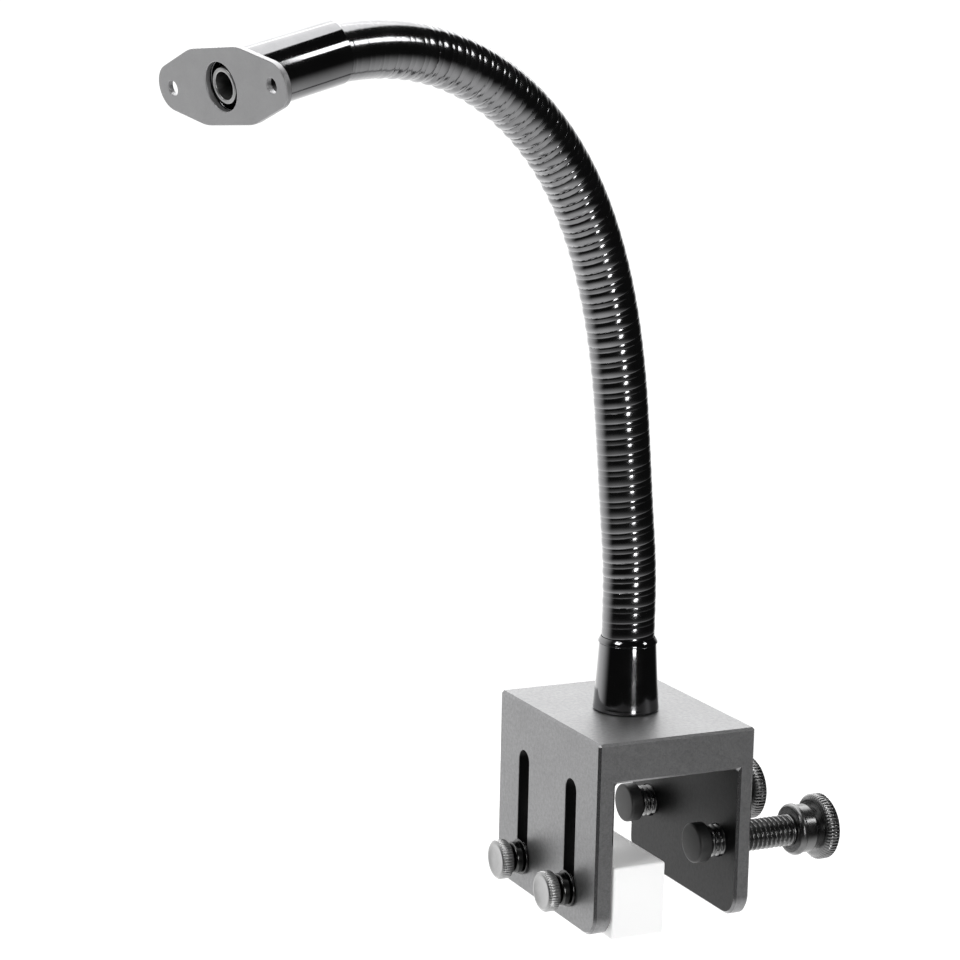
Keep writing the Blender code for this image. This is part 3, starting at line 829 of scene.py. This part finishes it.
def turn_radius(place, angle, bend):
    """The outer radius at a place along the neck, in links, and an angle from the bend's inner side."""
    phase = (place * LINK / PITCH - angle / TURN) % 1.0
    inner = max(0.0, math.cos(angle)) ** 1.3
    tight = min(1.0, bend / TIGHT_BEND)
    open_turns = min(1.0, max(CLOSED_SHARE, (CLOSED_FROM - place) / CLOSING_RUN + CLOSED_SHARE))
    open_inside = min(1.0, max(0.0, (INNER_CLOSED_FROM - place) / INNER_CLOSING_RUN))
    open_turns = max(open_turns, INNER_SHARE * inner * open_inside)
    squeeze = inner * tight
    if phase < ROUND_SHARE:
        across = 2 * phase / ROUND_SHARE - 1
        fall = ROUND_WIRE_FALL * (STRAIGHT_FALL + (1 - STRAIGHT_FALL) * tight) + INNER_BULGE * squeeze
        rise = 0.5 * INNER_BULGE * squeeze
    else:
        across = 2 * (phase - ROUND_SHARE) / (1 - ROUND_SHARE) - 1
        fall = FLAT_WIRE_FALL
        rise = -FLAT_WIRE_SINK - 0.3 * INNER_BULGE * squeeze
    radius = NECK_R + (rise - fall * across * across) * open_turns
    share = (1 - (1 - OUTER_SIDE) * tight * (1 - inner)) * (STRAIGHT + (1 - STRAIGHT) * tight)
    for where, depth, half_width in (MAIN_GROOVE, FINE_GROOVE):
        off = abs((phase - where + 0.5) % 1.0 - 0.5) * PITCH
        near = max(0.0, 1 - off / half_width)
        radius -= depth * near * near * (3 - 2 * near) * (0.25 + 0.75 * open_turns) * share
    return radius


def neck_stretch(number, centres, paint):
    """A closed tube whose outside is wound, from (centre, heading, bend, place) samples."""
    bm = bmesh.new()
    outer_rings, inner_rings = [], []
    bore = NECK_R - NECK_WALL
    for centre, heading, bend, place in centres:
        inward, side = direction(heading + QUARTER), HINGE
        outer, inner = [], []
        for i in range(AROUND):
            a = TURN * i / AROUND
            ray = inward * math.cos(a) + side * math.sin(a)
            outer.append(bm.verts.new(centre + ray * turn_radius(place, a, bend)))
            inner.append(bm.verts.new(centre + ray * bore))
        outer_rings.append(outer)
        inner_rings.append(inner)
    for i in range(AROUND):
        j = (i + 1) % AROUND
        for a, b in zip(outer_rings, outer_rings[1:]):
            bm.faces.new((a[i], a[j], b[j], b[i]))
        for a, b in zip(inner_rings, inner_rings[1:]):
            bm.faces.new((a[j], a[i], b[i], b[j]))
        bm.faces.new((outer_rings[0][j], outer_rings[0][i], inner_rings[0][i], inner_rings[0][j]))
        bm.faces.new((outer_rings[-1][i], outer_rings[-1][j], inner_rings[-1][j], inner_rings[-1][i]))
    return piece(f"neck_winding_{number:02d}", mesh_from(bm, "neck_winding"), paint, 60)


def neck(paint):
    """Thirteen wound stretches. Each but the first bends round one pivot, between two bodies."""
    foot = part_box("neck_link_01")[0].z
    base_z = PIVOTS[0].z - LINK
    middle = PIVOTS[0].z - LINK / 2
    rows = int(ROWS_PER_LINK * (middle - foot) / LINK)
    samples = []
    for i in range(rows + 1):
        z = foot + (middle - foot) * i / rows
        samples.append((Vector((PIVOTS[0].x, PIVOTS[0].y, z)), 0.0, 0.0, (z - base_z) / LINK))
    root = neck_stretch(1, samples, paint)
    finished(root, "neck_base", "neck_link_01")
    bends = [0.0] + [abs(b - a) for a, b in zip(HEADINGS, HEADINGS[1:])] + [0.0]
    for k in range(1, len(PIVOTS) + 1):
        samples = []
        for i in range(ROWS_PER_LINK + 1):
            t = i / ROWS_PER_LINK
            centre, heading = neck_point(k, t)
            neighbour = bends[k - 1] if t < 0.5 else bends[k + 1]
            share = abs(t - 0.5)
            bend = bends[k] * (1 - share) + neighbour * share
            samples.append((centre, heading, bend, k - 0.5 + t))
        stretch = neck_stretch(k + 1, samples, paint)
        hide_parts(f"neck_link_{k + 1:02d}")
        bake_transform(stretch)


# ---------------------------------------------------------------- studio

CAMERA_AIM = Vector((-0.0200, 0.0210, 0.0910))
CAMERA_DISTANCE = 0.780
CAMERA_AZIMUTH = math.radians(-25.53)
CAMERA_ELEVATION = math.radians(10.65)
CAMERA_ROLL = math.radians(1.21)
CAMERA_LENS = 98.43
FLOOR_R = 0.6
FLOOR_X = -0.05  # under the middle of the neck's reach
FLOOR_DROP = 0.12  # from the jaws' ends
FLOOR_GLOW = 0.32
BACKGROUND = 1.1
WALL = Vector((-0.08, 0.99, 0.0)).normalized()


def camera():
    data = bpy.data.cameras.new("camera")
    data.lens = CAMERA_LENS
    data.sensor_width = 36.0
    data.clip_start = 0.01
    data.clip_end = 200.0
    made = bpy.data.objects.new("camera", data)
    turn = Matrix.Rotation(CAMERA_AZIMUTH, 4, "Z") @ Matrix.Rotation(QUARTER - CAMERA_ELEVATION, 4, "X")
    turn = turn @ Matrix.Rotation(CAMERA_ROLL, 4, "Z")
    away = turn.to_3x3() @ Vector((0, 0, CAMERA_DISTANCE))
    made.matrix_world = Matrix.Translation(CAMERA_AIM + away) @ turn
    bpy.context.scene.collection.objects.link(made)
    bpy.context.scene.camera = made


def area_light(name, azimuth, elevation, distance, size, radiance, height=None):
    """A softbox seen from the object at a bearing from the front (-Y), towards -X when negative."""
    data = bpy.data.lights.new(name, "AREA")
    data.shape = "RECTANGLE"
    data.size = size
    data.size_y = height or size
    data.energy = radiance * math.pi * data.size * data.size_y
    made = bpy.data.objects.new(name, data)
    a, e = math.radians(azimuth), math.radians(elevation)
    towards = Vector((math.sin(a) * math.cos(e), -math.cos(a) * math.cos(e), math.sin(e)))
    made.location = CAMERA_AIM + towards * distance
    made.rotation_euler = towards.to_track_quat("Z", "Y").to_euler()
    bpy.context.scene.collection.objects.link(made)


def floor():
    """A round white floor well below the jaws. Mirror-like metal sees the world's ground instead."""
    bm = bmesh.new()
    bmesh.ops.create_circle(bm, cap_ends=True, segments=96, radius=FLOOR_R)
    mesh = mesh_from(bm, "floor")
    mesh.transform(at(FLOOR_X, 0.0, BLOCK_LOW.z - FLOOR_DROP))
    n = Nodes("floor_white")
    tone = n.clouds(n.noise(3, 2.0), grey(0.74), grey(0.77))
    n.set(Base_Color=tone, Roughness=0.9, Emission_Color=WHITE, Emission_Strength=FLOOR_GLOW)
    made = piece("floor", mesh, n.material)
    made.visible_glossy = False


def world():
    """White to the eye. Metal sees a dark room with a pale wall behind the object and a pale ground."""
    made = bpy.data.worlds.new("studio")
    bpy.context.scene.world = made
    made.use_nodes = True
    tree = made.node_tree
    tree.nodes.clear()
    add, link = tree.nodes.new, tree.links.new
    out = add("ShaderNodeOutputWorld")
    place = add("ShaderNodeTexCoord")

    def pale_towards(target, edge, full, dark, bright):
        """A brightness that rises from dark to bright as a ray turns towards the target direction."""
        facing = add("ShaderNodeVectorMath")
        facing.operation = "DOT_PRODUCT"
        facing.inputs[1].default_value = target
        link(place.outputs["Generated"], facing.inputs[0])
        rise = add("ShaderNodeMapRange")
        rise.interpolation_type = "SMOOTHSTEP"
        rise.inputs["From Min"].default_value = edge
        rise.inputs["From Max"].default_value = full
        rise.inputs["To Min"].default_value = dark
        rise.inputs["To Max"].default_value = bright
        link(facing.outputs["Value"], rise.inputs["Value"])
        return rise.outputs["Result"]

    both = add("ShaderNodeMath")
    both.operation = "ADD"
    link(pale_towards(WALL, 0.22, 1.0, 0.015, 1.5), both.inputs[0])
    link(pale_towards(-UP, 0.25, 0.88, 0.0, 1.3), both.inputs[1])
    room, white = add("ShaderNodeBackground"), add("ShaderNodeBackground")
    link(both.outputs["Value"], room.inputs["Strength"])
    for background in (room, white):
        background.inputs["Color"].default_value = WHITE
    white.inputs["Strength"].default_value = BACKGROUND
    path, mix = add("ShaderNodeLightPath"), add("ShaderNodeMixShader")
    link(path.outputs["Is Camera Ray"], mix.inputs["Fac"])
    link(room.outputs["Background"], mix.inputs[1])
    link(white.outputs["Background"], mix.inputs[2])
    link(mix.outputs["Shader"], out.inputs["Surface"])


def studio():
    camera()
    floor()
    world()
    area_light("key", 0.5, 4, 1.6, 0.32, 13.0, height=0.62)
    area_light("left", -75, 45, 1.5, 0.5, 8.0)
    area_light("right", 54, 32, 1.6, 0.3, 9.0)
    area_light("overhead", 154, 80, 1.3, 1.1, 3.2)
    area_light("back", 154, 40, 1.6, 1.5, 2.6, height=1.1)
    bpy.context.scene.view_settings.view_transform = "Standard"


def main():
    aluminium = blasted_aluminium("blasted_aluminium", 0.265)
    # Near-black painted shade for the inside of the U and the slot walls, not a finish of its own
    throat = blasted_aluminium("throat_painted_shade", 0.02)
    # Smoother cut finish for the jaw chamfers, darkened in tone as painted shade
    jaw_edge_cut_and_shade = blasted_aluminium("cut_aluminium_and_painted_shade", 0.2, smoother=0.22)
    chrome = dark_chrome("neck_chrome", 0.2, 0.13)
    ferrule_chrome = dark_chrome("ferrule_chrome", 0.2, 0.07)
    clamp_block(aluminium, throat, jaw_edge_cut_and_shade)
    slide_bar(plastic("white_plastic", 0.93, 0.42, glow=0.2))
    nylon = plastic("black_nylon", 0.018, 0.45)
    plain = turned_steel("bright_steel", 0.42, 0.28, 900.0, (PIVOTS[0].x, 0, 0), axis=(0, 0, 1))
    for end in ENDS:
        y, z = screw_axis(f"thumb_screw_{end}")
        small = turned_steel(f"thumb_nickel_{end}", 0.36, 0.32, 1400.0, (0, y, z))
        # Black steel for the collars; on the washers the same near-black paint is painted shade
        dark = turned_steel(f"thumb_black_{end}", 0.07, 0.2, 1400.0, (0, y, z))
        thumb_screw(end, small, dark)
        y, z = screw_axis(f"clamp_screw_{end}")
        large = turned_steel(f"clamp_nickel_{end}", 0.16, 0.24, 1200.0, (0, y, z))
        clamp_screw(end, large, nylon)
    base_ferrule(ferrule_chrome)
    neck_fastener(plain)
    neck(chrome)
    end_ferrule(ferrule_chrome)
    tube = turned_steel("tube_steel", 0.38, 0.34, 1500.0, PIVOTS[-1], axis=FLANGE_NORMAL)
    cable_tube(tube)
    flange_plate(plate_face())
    studio()


main()
